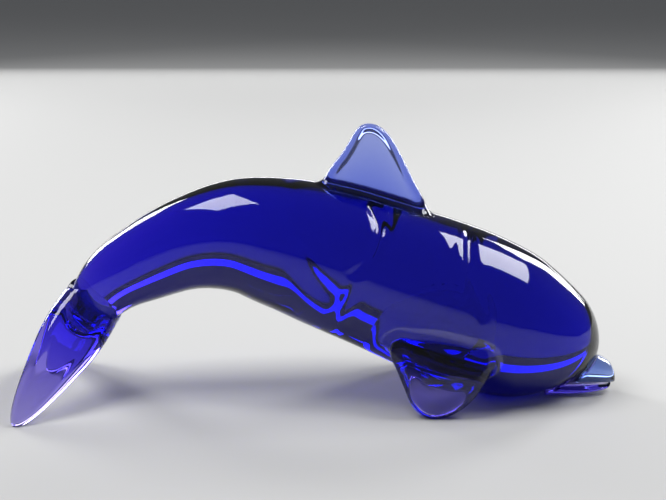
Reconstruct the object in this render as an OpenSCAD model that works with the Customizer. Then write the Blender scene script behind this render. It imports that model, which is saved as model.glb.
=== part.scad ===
// Dolphin figurine in solid hot-worked glass: an arched body with a dorsal fin, two flippers,
// two tail flukes and a two-part beak, all fused on. It rests on its chin, flippers and flukes.
// The dolphin faces +X, its left side is +Y, and the table is at Z = 0.

/* [Body] */
// Length of the body from the tail root to the forehead
body_length = 145; // [115:1:175]
// Height of the hollow under the arch
arch_height = 31; // [24:1:38]
// Depth of the body at the shoulder
shoulder_depth = 43; // [35:1:52]
// Width of the body at the shoulder
shoulder_width = 40; // [33:1:48]

/* [Dorsal fin] */
// Height of the fin above the back
fin_height = 18.5; // [14:0.5:22]
// Length of the fin along the back
fin_length = 30; // [24:1:36]
// Thickness of the fin plate
fin_thickness = 3.4; // [2.5:0.1:5]
// Distance that the top of the fin leans towards the tail
fin_sweep = 8; // [0:0.5:12]

/* [Flippers] */
// Width of a flipper at its root
flipper_width = 27; // [22:1:32]
// Thickness of a flipper at its root
flipper_thickness = 9; // [7:0.5:11]
// Distance between the tips of the two flippers
flipper_span = 39; // [34:1:48]

/* [Tail flukes] */
// Distance between the tips of the two flukes
fluke_span = 54; // [42:1:66]
// Distance that the flukes reach back past the tail root
fluke_reach = 15; // [11:1:20]
// Width of a fluke at its root
fluke_width = 17.5; // [14:0.5:21]
// Thickness of a fluke at its root
fluke_thickness = 10; // [8:0.5:13]

/* [Beak] */
// Distance that the upper beak reaches past the forehead
beak_reach = 4; // [2:0.5:8]
// Width of the beak
beak_width = 11; // [9:0.5:14]
// Height of the upper beak where it leaves the forehead
beak_depth = 9; // [6:0.5:10]
// Height of the mouth line above the table
mouth_height = 2.8; // [2.2:0.1:4]

/* [Hidden] */

glass = [0.05, 0.04, 0.45];
thin_glass = [0.12, 0.14, 0.42];

// How far the soft glass settled onto the table, which leaves small flats at Z = 0
settle = 1;
// How deep a fused-on bit starts inside the body before its seat is cut
seat_depth = 4;

// The middle of the whole length is at X = 0
tail_x = -(body_length + beak_reach - fluke_reach) / 2;

half_depth = shoulder_depth / 2;
half_width = shoulder_width / 2;

// Rows along the body at equal steps from the tail root to the forehead:
// [share of the length, share of the arch height, share of the half depth, share of the half width]
body_rows = [
    [-0.016, 0.52, 0.20, 0.20],
    [0.058, 0.765, 0.425, 0.43],
    [0.128, 0.90, 0.52, 0.51],
    [0.212, 1.00, 0.61, 0.60],
    [0.302, 0.97, 0.74, 0.72],
    [0.392, 0.82, 0.85, 0.83],
    [0.480, 0.64, 0.92, 0.91],
    [0.568, 0.46, 0.96, 0.97],
    [0.656, 0.27, 1.01, 1.00],
    [0.744, 0.10, 1.02, 1.00],
    [0.832, -0.02, 0.95, 0.94],
    [0.914, 0.01, 0.70, 0.74],
    [0.982, 0.30, 0.05, 0.06]
];
body_rings = 54;
body_sides = 32;

// Smooth curve through the rows of a table, at a place from 0 to 1
function along(rows, place) =
    let (last = len(rows) - 1,
         s = min(max(place, 0), 1) * last,
         i = min(floor(s), last - 1),
         f = s - i,
         a = rows[max(i - 1, 0)],
         b = rows[i],
         c = rows[i + 1],
         d = rows[min(i + 2, last)])
    b + 0.5 * f * (c - a + f * (2 * a - 5 * b + 4 * c - d + f * (3 * (b - c) + d - a)));

function unit(v) = v / norm(v);

// The half depth and half width follow their squares, which rounds the two ends of the body. The least
// square keeps the ends from closing to a point, and curve_step is the step that measures the slope.
least_square = 0.0025;
curve_step = 0.004;
squared_rows = [for (r = body_rows) [r[0], r[1], r[2] * r[2], r[3] * r[3]]];
function body_row(place) =
    let (r = along(squared_rows, place))
    [r[0], r[1], sqrt(max(r[2], least_square)), sqrt(max(r[3], least_square))];

// Centre line of the body, its upward normal, and its half depth and half width
function body_centre(place) =
    let (r = body_row(place), plain = along(body_rows, place))
    [tail_x + body_length * r[0], 0, arch_height * r[1] + half_depth * plain[2] - settle];
function body_up(place) =
    let (d = unit(body_centre(place + curve_step) - body_centre(place - curve_step)))
    [-d[2], 0, d[0]];
function body_half_depth(place) = half_depth * body_row(place)[2];
function body_half_width(place) = half_width * body_row(place)[3];

// Nothing reaches below the table
function on_table(p) = [p[0], p[1], max(p[2], 0)];

// Closed skin over a list of rings, each with the same number of points, that run clockwise as seen from
// the last ring
module skin(rings) {
    m = len(rings[0]);
    last = len(rings) - 1;
    points = [for (r = rings, p = r) p];
    first_end = [for (j = [m - 1:-1:0]) j];
    last_end = [for (j = [0:m - 1]) last * m + j];
    sides = [for (i = [0:last - 1], j = [0:m - 1], half = [0:1])
        let (a = i * m + j, b = i * m + (j + 1) % m, up = m)
        half == 0 ? [a, b + up, a + up] : [a, b, b + up]];
    polyhedron(points, concat([first_end, last_end], sides), convexity = 6);
}

// Ring of a fin: an oval with blunt edges, half_chord along chord and half_thick along across
fin_sides = 24;
fin_rings = 18;
bluntness = 0.7;
function fin_ring(centre, chord, across, half_chord, half_thick) =
    [for (j = [0:fin_sides - 1])
        let (angle = 360 * j / fin_sides, c = cos(angle), s = sin(angle))
        on_table(centre + half_chord * c * chord + half_thick * sign(s) * pow(abs(s), bluntness) * across)];

module body_form() {
    skin([for (i = [0:body_rings])
        let (place = (1 - cos(180 * i / body_rings)) / 2,
             centre = body_centre(place),
             up = body_up(place),
             deep = body_half_depth(place),
             wide = body_half_width(place))
        [for (j = [0:body_sides - 1])
            let (angle = 360 * j / body_sides)
            on_table(centre + deep * cos(angle) * up + wide * sin(angle) * [0, 1, 0])]]);
}

module body() {
    color(glass) body_form();
}

// A piece fused on: its seat is the surface of the body
module fused() {
    resize([0, 0, 0])
        difference() {
            children();
            body_form();
        }
}

// Rings close up towards the tip of a fin, where it turns quickest
function to_tip(i) = sin(90 * i / fin_rings);

// Rows up the dorsal fin, at equal steps from inside the back to the top:
// [share of the height, share of the half length, share of the sweep, share of the half thickness]
dorsal_rows = [
    [-0.22, 1.30, 0.10, 3.60],
    [0.00, 1.17, 0.11, 3.00],
    [0.12, 1.03, 0.155, 1.55],
    [0.25, 0.88, 0.26, 1.08],
    [0.41, 0.72, 0.415, 0.92],
    [0.58, 0.58, 0.58, 0.84],
    [0.75, 0.45, 0.765, 0.78],
    [0.90, 0.31, 0.92, 0.66],
    [1.00, 0.05, 1.00, 0.20]
];
dorsal_place = 0.535;

module dorsal_form() {
    up = body_up(dorsal_place);
    forward = [up[2], 0, -up[0]];
    foot = body_centre(dorsal_place) + body_half_depth(dorsal_place) * up;
    skin([for (i = [0:fin_rings])
        let (r = along(dorsal_rows, to_tip(i)),
             centre = foot + fin_height * r[0] * up - fin_sweep * r[2] * forward)
        fin_ring(centre, forward, [0, -1, 0], fin_length / 2 * r[1], fin_thickness / 2 * r[3])]);
}

module dorsal_fin() {
    color(thin_glass) fused() dorsal_form();
}

// Rows down a flipper, at equal steps from inside the flank to the tip on the table:
// [share of the way, share of the half width, share of the half thickness, share of the half width forward]
flipper_rows = [
    [0.00, 1.00, 1.00, 0.02],
    [0.20, 1.02, 1.00, 0.05],
    [0.38, 0.93, 0.86, 0.09],
    [0.58, 0.775, 0.72, 0.07],
    [0.77, 0.60, 0.62, 0.02],
    [0.91, 0.40, 0.50, -0.03],
    [1.00, 0.16, 0.26, -0.08]
];
flipper_place = 0.70;
// Angle round the body from the top of the back to the middle of the flipper's root
flipper_angle = 112;
// How far the flipper bows outwards, as a share of its reach past the flank
flipper_bow = 0.55;

// side is -1 for the right flipper and 1 for the left one
module flipper_form(side) {
    up = body_up(flipper_place);
    out = sin(flipper_angle) * [0, side, 0] + cos(flipper_angle) * up;
    flank = body_centre(flipper_place) + body_half_depth(flipper_place) * cos(flipper_angle) * up
        + body_half_width(flipper_place) * sin(flipper_angle) * [0, side, 0];
    root = flank - seat_depth * out;
    tip = [root[0], side * flipper_span / 2, -settle / 2];
    way = tip - root;
    reach = flipper_span / 2 - abs(root[1]);
    skin([for (i = [0:fin_rings])
        let (r = along(flipper_rows, to_tip(i)),
             bow = reach * flipper_bow * sin(180 * r[0]),
             centre = root + r[0] * way + [flipper_width / 2 * r[3], side * bow, 0])
        fin_ring(centre, [1, 0, 0], unit([0, -way[2], way[1]]),
                 flipper_width / 2 * r[1], flipper_thickness / 2 * r[2])]);
}

module flipper_right() {
    color(glass) fused() flipper_form(-1);
}

module flipper_left() {
    color(glass) fused() flipper_form(1);
}

// Rows along a tail fluke, at equal steps from inside the tail root to the tip on the table:
// [share of the way, share of the half width, share of the half thickness]
fluke_rows = [
    [0.00, 0.97, 0.80],
    [0.16, 0.99, 0.92],
    [0.32, 0.94, 0.88],
    [0.49, 0.80, 0.74],
    [0.66, 0.64, 0.58],
    [0.82, 0.46, 0.44],
    [0.94, 0.26, 0.30],
    [1.00, 0.05, 0.10]
];
fluke_place = 0.045;
// How far the rounded end of a fluke stands past the end of its centre line
fluke_end = 0.85;
// How far a fluke bows outwards, and how far its root lies from the middle as a share of its thickness
fluke_bow = 1.5;
fluke_offset = 0.3;

// side is -1 for the right fluke and 1 for the left one
module fluke_form(side) {
    root = body_centre(fluke_place) + [0, side * fluke_thickness * fluke_offset, 0];
    tip = [tail_x - fluke_reach + fluke_end, side * fluke_span / 2, 0];
    way = tip - root;
    across = unit(cross(body_up(fluke_place), way));
    chord = cross(unit(way), across);
    skin([for (i = [0:fin_rings])
        let (r = along(fluke_rows, to_tip(i)),
             centre = root + r[0] * way + side * fluke_bow * sin(180 * r[0]) * [0, 1, 0])
        fin_ring(centre, chord, across, fluke_width / 2 * r[1], fluke_thickness / 2 * r[2])]);
}

module tail_fluke_right() {
    color(glass) fused() fluke_form(-1);
}

module tail_fluke_left() {
    color(glass) fused() fluke_form(1);
}

// Rows along the beak, at equal steps from inside the head to the tip:
// [share of the way, share of the half width, share of the upper beak's height, share of the jaw's height]
beak_rows = [
    [0.00, 1.00, 1.00, 0.94],
    [0.25, 1.00, 1.04, 0.90],
    [0.50, 0.97, 1.02, 0.78],
    [0.72, 0.88, 0.88, 0.60],
    [0.90, 0.68, 0.66, 0.36],
    [1.00, 0.24, 0.16, 0.12]
];
// Distance from the forehead back to the buried end of the beak, just ahead of the chin's flat
beak_bury_share = 0.75;
beak_bury = beak_bury_share * half_depth;
// How much shorter the lower jaw is than the upper beak
jaw_back = 1.2;
// Slit between the two halves of the beak
mouth_gap = 0.3;

forehead_x = tail_x + body_length;

// One half of the beak: it is high tall at its root, lies above (side 1) or below (side -1) the height
// mouth_z, and ends at X = end_x
module beak_form(mouth_z, side, high, end_x, column) {
    start_x = forehead_x - beak_bury;
    skin([for (i = [0:fin_rings])
        let (r = along(beak_rows, to_tip(i)),
             half_high = high * r[column] / 2,
             centre = [start_x + r[0] * (end_x - start_x), 0, mouth_z + side * half_high])
        fin_ring(centre, [0, 1, 0], [0, 0, -1], beak_width / 2 * r[1], half_high)]);
}

module beak_upper() {
    color(thin_glass) fused()
        beak_form(mouth_height + mouth_gap / 2, 1, beak_depth, forehead_x + beak_reach, 2);
}

module beak_lower() {
    color(glass) fused()
        beak_form(mouth_height - mouth_gap / 2, -1, mouth_height - mouth_gap / 2,
                  forehead_x + beak_reach - jaw_back, 3);
}

body();
dorsal_fin();
flipper_right();
flipper_left();
tail_fluke_right();
tail_fluke_left();
beak_upper();
beak_lower();
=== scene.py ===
"""A solid, hot-worked glass dolphin: the body and the bits fused onto it, each a closed glass solid.

A bit flares out where it meets the body and overlaps it by a hair, so light crosses the seam as it does
in fused glass. Shape values are in millimetres, as in the CAD design, and are fitted to the frame.
"""

import math

import bpy
import numpy as np
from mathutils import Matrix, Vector
from mathutils.bvhtree import BVHTree


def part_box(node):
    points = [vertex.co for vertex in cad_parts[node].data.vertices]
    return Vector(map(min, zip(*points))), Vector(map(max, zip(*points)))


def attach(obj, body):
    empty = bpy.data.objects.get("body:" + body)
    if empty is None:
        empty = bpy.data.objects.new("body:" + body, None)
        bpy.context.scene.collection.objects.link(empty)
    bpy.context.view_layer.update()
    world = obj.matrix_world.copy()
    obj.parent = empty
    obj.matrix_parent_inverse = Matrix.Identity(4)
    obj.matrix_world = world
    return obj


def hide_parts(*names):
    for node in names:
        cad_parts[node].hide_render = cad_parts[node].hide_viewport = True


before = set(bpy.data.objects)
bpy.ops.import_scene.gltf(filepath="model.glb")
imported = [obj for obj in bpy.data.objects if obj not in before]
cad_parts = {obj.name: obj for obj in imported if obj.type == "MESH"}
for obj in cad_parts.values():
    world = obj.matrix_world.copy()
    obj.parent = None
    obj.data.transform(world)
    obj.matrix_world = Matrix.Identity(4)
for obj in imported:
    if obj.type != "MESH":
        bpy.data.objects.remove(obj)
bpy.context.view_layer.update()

MM = 0.001
X = np.array([1.0, 0.0, 0.0])
Y = np.array([0.0, 1.0, 0.0])
Z = np.array([0.0, 0.0, 1.0])

# ---------------------------------------------------------------- the design, in millimetres
BODY_LENGTH = 145.0
ARCH_HEIGHT = 31.0
HALF_DEPTH = 21.5
HALF_WIDTH = 20.0
FIN_HEIGHT, FIN_LENGTH, FIN_SWEEP, FIN_PLACE = 18.5, 30.0, 8.0, 0.535
FLIPPER_WIDTH, FLIPPER_SPAN, FLIPPER_PLACE, FLIPPER_ANGLE = 27.0, 39.0, 0.70, math.radians(112)
FLIPPER_BOW = 0.55  # share of the flipper's reach past its root
FLUKE_WIDTH, FLUKE_THICKNESS, FLUKE_SPAN, FLUKE_REACH, FLUKE_PLACE = 17.5, 10.0, 54.0, 15.0, 0.045
FLUKE_END, FLUKE_BOW = 0.85, 1.5
FLUKE_OFFSET = 0.3  # how far a fluke's root lies from the middle, as a share of its thickness
BEAK_REACH, BEAK_WIDTH, BEAK_DEPTH, MOUTH_HEIGHT, MOUTH_GAP, JAW_BACK = 4.0, 11.0, 9.0, 2.8, 0.3, 1.2
BEAK_BURY = 0.75 * HALF_DEPTH
BLUNTNESS = 0.7  # how blunt the edges of the beak's oval section are
SETTLE = 1.0
SEAT_DEPTH = 4.0
TAIL_X = -(BODY_LENGTH + BEAK_REACH - FLUKE_REACH) / 2
FOREHEAD_X = TAIL_X + BODY_LENGTH

# How far a bit overlaps the body at its seat, and how far inside the body its fillet ends
OVERLAP = 0.05
SINK = 0.08

# Gap left between a fitted piece and the end of the CAD box, and the edge angle above which shading breaks
CLEARANCE = 0.05
SHARP_ANGLE = math.radians(50)

# Step along the body that measures its slope
SLOPE_STEP = 0.004

# [share of the length, share of the arch height, share of the half depth, share of the half width]
BODY_ROWS = [
    [-0.016, 0.52, 0.20, 0.20],
    [0.058, 0.765, 0.425, 0.43],
    [0.128, 0.90, 0.52, 0.51],
    [0.212, 1.00, 0.61, 0.60],
    [0.302, 0.97, 0.74, 0.72],
    [0.392, 0.82, 0.85, 0.83],
    [0.480, 0.64, 0.92, 0.91],
    [0.568, 0.46, 0.96, 0.97],
    [0.656, 0.27, 1.01, 1.00],
    [0.744, 0.10, 1.02, 1.00],
    [0.832, -0.02, 0.95, 0.94],
    [0.914, 0.01, 0.70, 0.74],
    [0.982, 0.30, 0.05, 0.06],
]

# Dorsal fin: [share of the height, share of the half length, share of the sweep]
DORSAL_ROWS = [
    [-0.26, 0.99, 0.10],
    [0.00, 0.99, 0.11],
    [0.12, 0.955, 0.155],
    [0.25, 0.86, 0.26],
    [0.41, 0.71, 0.415],
    [0.58, 0.575, 0.58],
    [0.75, 0.445, 0.765],
    [0.90, 0.30, 0.92],
    [1.00, 0.00, 1.00],
]

# Flipper: [share of the way, share of the half width, share of the half width that it stands forward]
FLIPPER_ROWS = [
    [0.00, 1.00, 0.02],
    [0.20, 1.02, 0.05],
    [0.38, 0.93, 0.09],
    [0.58, 0.775, 0.07],
    [0.77, 0.60, 0.02],
    [0.91, 0.38, -0.03],
    [1.00, 0.00, -0.08],
]

# Tail fluke: [share of the way, share of the half width]
FLUKE_ROWS = [
    [0.00, 0.97],
    [0.16, 0.99],
    [0.32, 0.94],
    [0.49, 0.80],
    [0.66, 0.64],
    [0.82, 0.46],
    [0.94, 0.26],
    [1.00, 0.00],
]

# Beak: [share of the way, share of the half width, share of the upper beak's height, share of the jaw's]
BEAK_ROWS = [
    [0.00, 1.00, 1.00, 0.94],
    [0.25, 1.00, 1.04, 0.90],
    [0.50, 0.97, 1.02, 0.78],
    [0.72, 0.88, 0.88, 0.60],
    [0.90, 0.68, 0.66, 0.36],
    [1.00, 0.00, 0.00, 0.00],
]

# Furrows that the tools left, mostly in the far flank, between the fin and the flippers:
# [place along the body, angle round it from the top in degrees, which is negative on the near flank]
FURROWS = [
    [[0.690, 40], [0.700, 64], [0.716, 86], [0.740, 108], [0.772, 130]],
    [[0.722, 60], [0.736, 80], [0.762, 98], [0.800, 116]],
    [[0.610, 48], [0.588, 72], [0.576, 92], [0.560, 112], [0.530, 134]],
    [[0.520, 66], [0.556, 84], [0.580, 98]],
    [[0.400, 92], [0.450, 104], [0.500, 112], [0.560, 116]],
    [[0.690, -14], [0.694, -36], [0.712, -60], [0.752, -84]],
    [[0.520, -22], [0.545, -42], [0.548, -66], [0.525, -88]],
]
FURROW_DEPTH, FURROW_WIDTH = 0.7, 1.9


# ---------------------------------------------------------------- curves
def along(rows, place):
    """Smooth curve through the rows of a table, at places from 0 to 1."""
    rows = np.asarray(rows, float)
    last = len(rows) - 1
    s = np.clip(np.atleast_1d(place), 0, 1) * last
    i = np.minimum(s.astype(int), last - 1)
    f = (s - i)[:, None]
    a, b, c, d = rows[np.maximum(i - 1, 0)], rows[i], rows[i + 1], rows[np.minimum(i + 2, last)]
    return b + 0.5 * f * (c - a + f * (2 * a - 5 * b + 4 * c - d + f * (3 * (b - c) + d - a)))


def along_round(values, place):
    """Smooth curve through single values, by their squares, so that an end at 0 is round."""
    squares = np.asarray(values, float)[:, None] ** 2
    return np.sqrt(np.maximum(along(squares, place)[:, 0], 1e-6))


def unit(v):
    return v / np.maximum(np.linalg.norm(v, axis=-1, keepdims=True), 1e-12)


def body_line(place):
    """Centre, upward normal, half depth and half width of the body at places from tail, 0, to head, 1."""
    rows = np.asarray(BODY_ROWS, float)

    def centre(p):
        r = along(rows, p)
        z = ARCH_HEIGHT * r[:, 1] + HALF_DEPTH * r[:, 2] - SETTLE
        return np.stack([TAIL_X + BODY_LENGTH * r[:, 0], 0 * z, z], 1)

    place = np.atleast_1d(np.asarray(place, float))
    step = unit(centre(place + SLOPE_STEP) - centre(place - SLOPE_STEP))
    up = np.stack([-step[:, 2], 0 * step[:, 0], step[:, 0]], 1)
    return (
        centre(place),
        up,
        HALF_DEPTH * along_round(rows[:, 2], place),
        HALF_WIDTH * along_round(rows[:, 3], place),
    )


# ---------------------------------------------------------------- meshes
def skin(rings):
    """(vertices, faces) of the closed skin over rings of points, shaped [ring, point, 3]."""
    n, m, _ = rings.shape
    points = np.concatenate([rings.reshape(-1, 3), rings[:1].mean(1), rings[-1:].mean(1)])
    i, j = np.meshgrid(np.arange(n - 1), np.arange(m), indexing="ij")
    a = (i * m + j).ravel()
    b = (i * m + (j + 1) % m).ravel()
    sides = np.stack([a, b, b + m, a + m], 1).tolist()
    ring = np.arange(m)
    after = (ring + 1) % m
    first = np.stack([after, ring, np.full(m, n * m)], 1).tolist()
    last = np.stack([ring + (n - 1) * m, after + (n - 1) * m, np.full(m, n * m + 1)], 1).tolist()
    return points, sides + first + last


def make_piece(name, rings):
    points, faces = skin(rings)
    mesh = bpy.data.meshes.new(name)
    mesh.from_pydata((points * MM).tolist(), [], faces)
    mesh.shade_smooth()
    piece = bpy.data.objects.new(name, mesh)
    bpy.context.scene.collection.objects.link(piece)
    return piece


def face_out(piece):
    """Turns the faces outwards if the closed mesh is inside out."""
    mesh = piece.data
    points, normals = points_of(piece), normals_of(piece)
    if np.sum((points - points.mean(0)) * normals) < 0:
        mesh.flip_normals()


def normals_of(piece):
    out = np.zeros(len(piece.data.vertices) * 3)
    piece.data.vertex_normals.foreach_get("vector", out)
    return out.reshape(-1, 3)


def points_of(piece):
    out = np.zeros(len(piece.data.vertices) * 3)
    piece.data.vertices.foreach_get("co", out)
    return out.reshape(-1, 3) / MM


def set_points(piece, points):
    piece.data.vertices.foreach_set("co", (points * MM).ravel())
    piece.data.update()


def copy_of(piece, name):
    other = bpy.data.objects.new(name, piece.data.copy())
    bpy.context.scene.collection.objects.link(other)
    return other


# ---------------------------------------------------------------- body
BODY_RINGS, BODY_SIDES = 340, 192


def on_body(place, angle):
    """Points of the plain body at places along it and angles round it from the top."""
    centre, up, deep, wide = body_line(place)
    return centre + (deep * np.cos(angle))[:, None] * up + (wide * np.sin(angle))[:, None] * Y


def to_line(points, line):
    """Distance from points to a polyline, and how far along it the nearest place is, from 0 to 1."""
    nearest, share = np.full(len(points), np.inf), np.zeros(len(points))
    for i, (a, b) in enumerate(zip(line[:-1], line[1:])):
        t = np.clip((points - a) @ (b - a) / max((b - a) @ (b - a), 1e-12), 0, 1)
        gap = np.linalg.norm(points - a - t[:, None] * (b - a), axis=1)
        share = np.where(gap < nearest, (i + t) / (len(line) - 1), share)
        nearest = np.minimum(nearest, gap)
    return nearest, share


def furrowed(points):
    """How deep the furrows are at points of the body: a dip between two low ridges."""
    depth = np.zeros(len(points))
    for rows in FURROWS:
        course = along(rows, np.linspace(0, 1, 40))
        gap, share = to_line(points, on_body(course[:, 0], np.radians(course[:, 1])))
        u = (gap / FURROW_WIDTH) ** 2
        depth += FURROW_DEPTH * (1 - 0.9 * u) * np.exp(-u) * np.sin(np.pi * share) ** 0.7
    return depth


def make_body():
    place = (1 - np.cos(np.linspace(0, np.pi, BODY_RINGS))) / 2
    centre, up, deep, wide = body_line(place)
    angle = np.linspace(0, 2 * np.pi, BODY_SIDES, endpoint=False)
    rings = (
        centre[:, None]
        + (deep[:, None] * np.cos(angle))[..., None] * up[:, None]
        + (wide[:, None] * np.sin(angle))[..., None] * Y
    )
    piece = make_piece("body_glass", rings)
    face_out(piece)
    points = points_of(piece)
    points -= furrowed(points)[:, None] * normals_of(piece)
    points[:, 2] = np.maximum(points[:, 2], 0)
    set_points(piece, points)
    return piece


body = make_body()

# The body a hair smaller, which cuts the seats of the bits, and a tree to find the body's nearest point
seat = copy_of(body, "seat_cutter")
set_points(seat, points_of(body) - OVERLAP * normals_of(body))
body_tree = BVHTree.FromPolygons(
    [Vector(p) for p in points_of(body)], [tuple(f.vertices) for f in body.data.polygons]
)


def from_body(points):
    """Signed distance from the body's surface, and its outward direction, at each point."""
    distance, outward = np.zeros(len(points)), np.zeros((len(points), 3))
    for i, p in enumerate(points):
        near, normal, _, _ = body_tree.find_nearest(Vector(p))
        gap = np.array(p) - np.array(near)
        outward[i] = normal
        distance[i] = np.linalg.norm(gap) * (1 if gap @ outward[i] >= 0 else -1)
    return distance, outward


# ---------------------------------------------------------------- the bits fused onto the body
def flare(piece, radius, still=None):
    """Draws a bit's root out into a fillet that runs onto the body, as hot glass flows.

    The fillet ends a hair inside the body, and nothing moves along the direction still.
    """
    points, normals = points_of(piece), normals_of(piece)
    high, outward = from_body(points)
    turn = np.clip((high + SINK) / radius, 0, 1) * np.pi / 2
    target = np.where(high < -SINK, high, radius * (1 - np.cos(turn)) - SINK)
    spread = radius * (1 - np.sin(turn)) * np.clip(1 + (high + SINK) / radius, 0, 1)
    sideways = normals - np.sum(normals * outward, 1)[:, None] * outward
    if still is not None:
        sideways -= (sideways @ still)[:, None] * still
    sideways /= np.maximum(np.linalg.norm(sideways, axis=1, keepdims=True), 0.5)
    moved = points + spread[:, None] * sideways
    high_now, outward_now = from_body(moved)
    near = (high > -2 * SINK) & (high < radius - SINK)
    moved += ((target - high_now) * near)[:, None] * outward_now
    moved[:, 2] = np.maximum(moved[:, 2], 0)
    set_points(piece, moved)


def seated(piece, name, *more_cutters):
    """The bit with its seat cut to the body's surface, as a finished closed mesh."""
    for cutter in (seat, *more_cutters):
        cut = piece.modifiers.new("seat", "BOOLEAN")
        cut.operation = "DIFFERENCE"
        cut.solver = "MANIFOLD"
        cut.object = cutter
    bpy.context.view_layer.update()
    mesh = bpy.data.meshes.new_from_object(piece.evaluated_get(bpy.context.evaluated_depsgraph_get()))
    bpy.data.objects.remove(piece)
    return finished(mesh, name)


def finished(mesh, name):
    mesh.name = name
    mesh.shade_smooth()
    mesh.set_sharp_from_angle(angle=SHARP_ANGLE)
    done = bpy.data.objects.new(name, mesh)
    bpy.context.scene.collection.objects.link(done)
    return done


def mirrored(piece, name):
    """The same bit on the other side of the body."""
    mesh = piece.data.copy()
    other = finished(mesh, name)
    set_points(other, points_of(piece) * [1, -1, 1])
    mesh.flip_normals()
    return other


def to_outline(flat, outline):
    """Distance from flat points to a polyline."""
    start, step = outline[:-1], np.diff(outline, axis=0)
    long = np.maximum(np.sum(step**2, 1), 1e-12)
    nearest = np.full(len(flat), np.inf)
    for a, d, l in zip(start, step, long):
        t = np.clip((flat - a) @ d / l, 0, 1)
        nearest = np.minimum(nearest, np.linalg.norm(flat - a - t[:, None] * d, axis=1))
    return nearest


def bead(inside, wide, thick, web):
    """Half thickness of a plate with a rounded rim, at a distance inside its outline."""
    rise = thick * np.sqrt(1 - (1 - np.clip(inside / wide, 0, 1)) ** 2)
    past = np.maximum(inside - wide, 0) / wide
    return np.where(inside < wide, rise, web + (thick - web) * np.exp(-(past**2)))


def blade(name, line, chord, across, half_chord, rim_wide, rim_thick, web, swell, sides=112):
    """A fin: rings round its centre line, with a bead along its outline and a swelling down its middle."""
    n = len(line)
    angle = np.linspace(0, 2 * np.pi, sides, endpoint=False)
    c, s = np.cos(angle), np.sign(np.round(np.sin(angle), 9))
    way = unit(line[-1] - line[0])
    level = (line - line[0]) @ way
    middle = (line - line[0]) @ chord
    outline = np.concatenate([
        np.stack([middle - half_chord, level], 1),
        np.stack([middle + half_chord, level], 1)[::-1],
    ])
    flat = np.stack([
        middle[:, None] + half_chord[:, None] * c,
        np.repeat(level[:, None], sides, 1),
    ], -1)
    inside = to_outline(flat.reshape(-1, 2), outline).reshape(n, sides)
    column = [np.asarray(v)[:, None] * np.ones(sides) for v in (rim_wide, rim_thick, web)]
    thick = bead(inside, *column)
    thick += swell[:, None] * (1 - c**2) * np.clip(inside / column[0], 0, 1)
    rings = (
        line[:, None]
        + (half_chord[:, None] * c)[..., None] * chord
        + (thick * s)[..., None] * across[:, None]
    )
    piece = make_piece(name, rings)
    face_out(piece)
    return piece


def to_tip(count):
    """Places from 0 to 1, closer together towards 1."""
    return np.sin(np.linspace(0, np.pi / 2, count))


def widths(rows, column, place):
    return along_round([r[column] for r in rows], place)


def fit(piece, axis, side, start, limit):
    """Squeezes what lies past start along an axis so that the piece ends at the limit."""
    points = points_of(piece)
    past = np.maximum(side * (points[:, axis] - start), 0)
    room = side * (limit - start)
    if past.max() > room:
        points[:, axis] -= side * past * (1 - room / past.max())
        set_points(piece, points)


def make_dorsal_fin():
    n = 220
    rows = along(DORSAL_ROWS, to_tip(n))
    centre, up, deep, _ = (v[0] for v in body_line(FIN_PLACE))
    foot = centre + deep * up
    forward = np.array([up[2], 0, -up[0]])
    line = foot + (FIN_HEIGHT * rows[:, 0])[:, None] * up - (FIN_SWEEP * rows[:, 2])[:, None] * forward
    half = FIN_LENGTH / 2 * widths(DORSAL_ROWS, 1, to_tip(n))
    low = np.clip(1 - rows[:, 0], 0, 1)
    piece = blade(
        "dorsal_form", line, forward, np.repeat(Y[None], n, 0), half,
        rim_wide=0.95 + 0.35 * low, rim_thick=1.30 + 0.4 * low,
        web=0.75 + 0.4 * low, swell=0.1 + 0.5 * low**2,
    )
    flare(piece, 3.2)
    fit(piece, 2, 1, foot[2], cad_top("dorsal_fin"))
    return seated(piece, "dorsal_fin_glass")


def cad_top(node):
    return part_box(node)[1][2] / MM - CLEARANCE


def make_flipper():
    n = 240
    rows = along(FLIPPER_ROWS, to_tip(n))
    centre, up, deep, wide = (v[0] for v in body_line(FLIPPER_PLACE))
    c, s = math.cos(FLIPPER_ANGLE), math.sin(FLIPPER_ANGLE)
    root = centre + deep * c * up - wide * s * Y - SEAT_DEPTH * (c * up - s * Y)
    tip = np.array([root[0], -FLIPPER_SPAN / 2, -SETTLE / 2])
    reach = FLIPPER_SPAN / 2 - abs(root[1])
    line = root + rows[:, :1] * (tip - root)
    line[:, 0] += FLIPPER_WIDTH / 2 * rows[:, 2]
    line[:, 1] -= reach * FLIPPER_BOW * np.sin(np.pi * rows[:, 0])
    way = unit(np.gradient(line, axis=0) * [0, 1, 1])
    left = np.clip(1 - rows[:, 0], 0, 1)
    piece = blade(
        "flipper_form", line, X, np.cross(way, X), FLIPPER_WIDTH / 2 * widths(FLIPPER_ROWS, 1, to_tip(n)),
        rim_wide=1.7 + 0.9 * left, rim_thick=1.9 + 0.7 * left,
        web=1.5 + 0.8 * left, swell=0.3 + 2.0 * left**1.5,
    )
    flare(piece, 3.0)
    return seated(piece, "flipper_right_glass")


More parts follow.
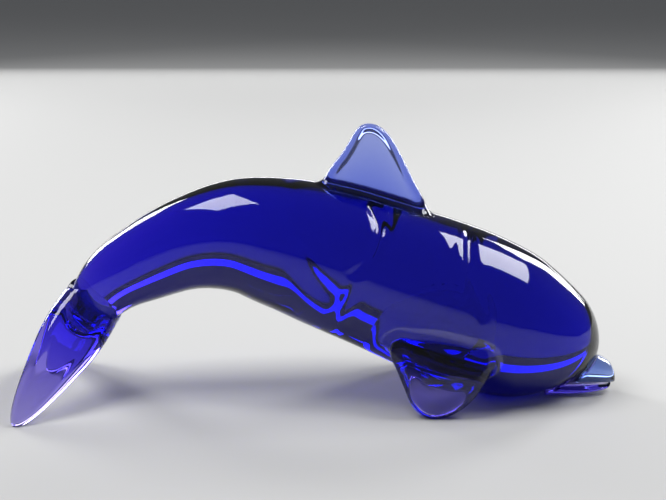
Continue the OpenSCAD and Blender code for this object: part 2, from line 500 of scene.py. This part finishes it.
def make_fluke():
    n = 260
    rows = along(FLUKE_ROWS, to_tip(n))
    centre, up, _, _ = (v[0] for v in body_line(FLUKE_PLACE))
    root = centre - FLUKE_THICKNESS * FLUKE_OFFSET * Y
    tip = np.array([TAIL_X - FLUKE_REACH + FLUKE_END, -FLUKE_SPAN / 2, 0])
    line = root + rows[:, :1] * (tip - root)
    line[:, 1] -= FLUKE_BOW * np.sin(np.pi * rows[:, 0])
    across = unit(np.cross(up, unit(tip - root)))
    chord = np.cross(unit(tip - root), across)
    left = np.clip(1 - rows[:, 0], 0, 1)
    piece = blade(
        "fluke_form", line, chord, np.repeat(across[None], n, 0),
        FLUKE_WIDTH / 2 * widths(FLUKE_ROWS, 1, to_tip(n)),
        rim_wide=1.3 + 1.6 * left, rim_thick=1.3 + 2.4 * left,
        web=1.0 + 2.4 * left, swell=0.4 + 1.0 * left,
    )
    flare(piece, 2.4, still=chord)
    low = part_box("tail_fluke_right")[0]
    fit(piece, 0, -1, root[0], low[0] / MM + CLEARANCE)
    fit(piece, 1, -1, root[1], low[1] / MM + CLEARANCE)
    other_half = make_block([-200, OVERLAP / 2, -200], [200, 200, 200])
    done = seated(piece, "tail_fluke_right_glass", other_half)
    bpy.data.objects.remove(other_half)
    return done


def make_block(low, high):
    spans = list(zip(low, high))
    corners = np.array([[x, y, z] for x in spans[0] for y in spans[1] for z in spans[2]])
    faces = [(0, 1, 3, 2), (4, 6, 7, 5), (0, 4, 5, 1), (2, 3, 7, 6), (0, 2, 6, 4), (1, 5, 7, 3)]
    mesh = bpy.data.meshes.new("block")
    mesh.from_pydata((corners * MM).tolist(), [], faces)
    block = bpy.data.objects.new("block", mesh)
    bpy.context.scene.collection.objects.link(block)
    return block


def make_beak(name, side, mouth_z, high, end_x, column, flare_radius):
    """One half of the beak, above (side 1) or below (side -1) the height mouth_z, ending at X = end_x."""
    n, sides = 160, 112
    place = to_tip(n)
    start_x = FOREHEAD_X - BEAK_BURY
    rows = along(BEAK_ROWS, place)
    half_high = high / 2 * widths(BEAK_ROWS, column, place)
    half_wide = BEAK_WIDTH / 2 * widths(BEAK_ROWS, 1, place)
    angle = np.linspace(0, 2 * np.pi, sides, endpoint=False)
    c, s = np.cos(angle), np.sin(angle)
    line = np.stack([start_x + rows[:, 0] * (end_x - start_x), 0 * place, mouth_z + side * half_high], 1)
    rings = (
        line[:, None]
        + (half_wide[:, None] * c)[..., None] * Y
        + (half_high[:, None] * np.sign(np.round(s, 9)) * np.abs(s) ** BLUNTNESS)[..., None] * Z
    )
    piece = make_piece(name, rings)
    face_out(piece)
    flare(piece, flare_radius)
    points = points_of(piece)
    points[:, 2] = side * np.maximum(side * points[:, 2], side * mouth_z)
    set_points(piece, points)
    return seated(piece, name)


# ---------------------------------------------------------------- glass
GLASS_IOR = 1.52
RIPPLE_HEIGHT = 0.02 * MM


def glass(name, tint, absorb, density):
    """Fire-polished glass: a clear surface with faint ripples and smears, and colour from its depth."""
    material = bpy.data.materials.new(name)
    material.use_nodes = True
    tree = material.node_tree
    nodes, links = tree.nodes, tree.links
    nodes.clear()
    out = nodes.new("ShaderNodeOutputMaterial")
    shader = nodes.new("ShaderNodeBsdfPrincipled")
    shader.inputs["Transmission Weight"].default_value = 1.0
    shader.inputs["IOR"].default_value = GLASS_IOR
    coordinates = nodes.new("ShaderNodeTexCoord")

    def noise(scale, detail):
        node = nodes.new("ShaderNodeTexNoise")
        node.inputs["Scale"].default_value = scale
        node.inputs["Detail"].default_value = detail
        links.new(coordinates.outputs["Object"], node.inputs["Vector"])
        return node

    def graded(source, low, high, colours):
        ramp = nodes.new("ShaderNodeValToRGB")
        ramp.color_ramp.elements[0].position = low
        ramp.color_ramp.elements[1].position = high
        ramp.color_ramp.elements[0].color = (*colours[0], 1)
        ramp.color_ramp.elements[1].color = (*colours[1], 1)
        links.new(source, ramp.inputs["Fac"])
        return ramp.outputs["Color"]

    striae = noise(55, 2)
    streaked = graded(striae.outputs["Fac"], 0.35, 0.65, [tint, [min(1, t * 1.06 + 0.02) for t in tint]])
    links.new(streaked, shader.inputs["Base Color"])
    smears = noise(90, 1)
    rough = graded(smears.outputs["Fac"], 0.45, 0.8, [(0.0, 0.0, 0.0), (0.04, 0.04, 0.04)])
    links.new(rough, shader.inputs["Roughness"])
    ripples = noise(160, 2)
    bump = nodes.new("ShaderNodeBump")
    bump.inputs["Strength"].default_value = 1.0
    bump.inputs["Distance"].default_value = RIPPLE_HEIGHT
    links.new(ripples.outputs["Fac"], bump.inputs["Height"])
    links.new(bump.outputs["Normal"], shader.inputs["Normal"])
    volume = nodes.new("ShaderNodeVolumeAbsorption")
    volume.inputs["Color"].default_value = (*absorb, 1)
    volume.inputs["Density"].default_value = density
    links.new(shader.outputs["BSDF"], out.inputs["Surface"])
    links.new(volume.outputs["Volume"], out.inputs["Volume"])
    return material


# Absorption per metre is density times (1 - colour)
cobalt = glass("cobalt_glass", (0.97, 0.97, 1.0), (0.19, 0.06, 0.886), 290)
thin = glass("thin_glass", (0.95, 0.96, 1.0), (0.10, 0.25, 0.88), 620)
pale = glass("pale_glass", (0.95, 0.97, 1.0), (0.20, 0.40, 0.85), 220)


# ---------------------------------------------------------------- the assembly
def finish_piece(piece, node, material):
    piece.data.materials.clear()
    piece.data.materials.append(material)
    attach(piece, "root")
    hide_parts(node)


flipper, fluke = make_flipper(), make_fluke()
finish_piece(body, "body", cobalt)
finish_piece(make_dorsal_fin(), "dorsal_fin", thin)
finish_piece(mirrored(flipper, "flipper_left_glass"), "flipper_left", cobalt)
finish_piece(mirrored(fluke, "tail_fluke_left_glass"), "tail_fluke_left", cobalt)
finish_piece(flipper, "flipper_right", cobalt)
finish_piece(fluke, "tail_fluke_right", cobalt)
finish_piece(
    make_beak("beak_upper_glass", 1, MOUTH_HEIGHT + MOUTH_GAP / 2, BEAK_DEPTH,
              FOREHEAD_X + BEAK_REACH, 2, 1.4),
    "beak_upper", pale,
)
finish_piece(
    make_beak("beak_lower_glass", -1, MOUTH_HEIGHT - MOUTH_GAP / 2, MOUTH_HEIGHT - MOUTH_GAP / 2,
              FOREHEAD_X + BEAK_REACH - JAW_BACK, 3, 0.8),
    "beak_lower", cobalt,
)
bpy.data.objects.remove(seat)


# ---------------------------------------------------------------- studio
def make_floor():
    mesh = bpy.data.meshes.new("floor")
    r = 4.0
    mesh.from_pydata([(-r, -r, 0), (r, -r, 0), (r, r, 0), (-r, r, 0)], [], [(0, 1, 2, 3)])
    floor = bpy.data.objects.new("floor", mesh)
    bpy.context.scene.collection.objects.link(floor)
    material = bpy.data.materials.new("pale_floor")
    material.use_nodes = True
    shader = material.node_tree.nodes["Principled BSDF"]
    shader.inputs["Base Color"].default_value = (0.48, 0.48, 0.475, 1)
    shader.inputs["Roughness"].default_value = 0.85
    floor.data.materials.append(material)


def area_light(name, place, target, size, power):
    data = bpy.data.lights.new(name, "AREA")
    data.shape = "RECTANGLE"
    data.size, data.size_y = size
    data.energy = power
    lamp = bpy.data.objects.new(name, data)
    lamp.location = place
    lamp.rotation_euler = (Vector(target) - Vector(place)).to_track_quat("-Z", "Y").to_euler()
    bpy.context.scene.collection.objects.link(lamp)


def make_studio():
    centre = (0, 0, 0.04)
    area_light("window_right", (0.46, 0.05, 0.62), centre, (0.42, 0.26), 3.6)
    area_light("window_left", (-0.30, -0.10, 0.70), centre, (0.36, 0.30), 3.4)
    area_light("back_right", (0.62, 0.62, 0.40), centre, (0.22, 0.50), 4.5)
    area_light("back_left", (-0.62, 0.62, 0.40), centre, (0.22, 0.50), 4.5)
    area_light("back_low", (0.0, 0.95, 0.14), centre, (1.6, 0.10), 2.0)
    world = bpy.data.worlds.new("studio")
    world.use_nodes = True
    world.node_tree.nodes["Background"].inputs["Color"].default_value = (0.30, 0.31, 0.33, 1)
    world.node_tree.nodes["Background"].inputs["Strength"].default_value = 0.5
    bpy.context.scene.world = world


def make_camera():
    data = bpy.data.cameras.new("camera")
    data.sensor_width = 36
    data.lens = 64.9
    data.clip_start = 0.01
    camera = bpy.data.objects.new("camera", data)
    distance, elevation = 0.330, math.radians(14)
    target = Vector((0.0025, 0, 0.041))
    camera.location = target + distance * Vector((0, -math.cos(elevation), math.sin(elevation)))
    camera.rotation_euler = (target - camera.location).to_track_quat("-Z", "Y").to_euler()
    bpy.context.scene.collection.objects.link(camera)
    bpy.context.scene.camera = camera


make_floor()
make_studio()
make_camera()
bpy.context.scene.view_settings.view_transform = "Standard"
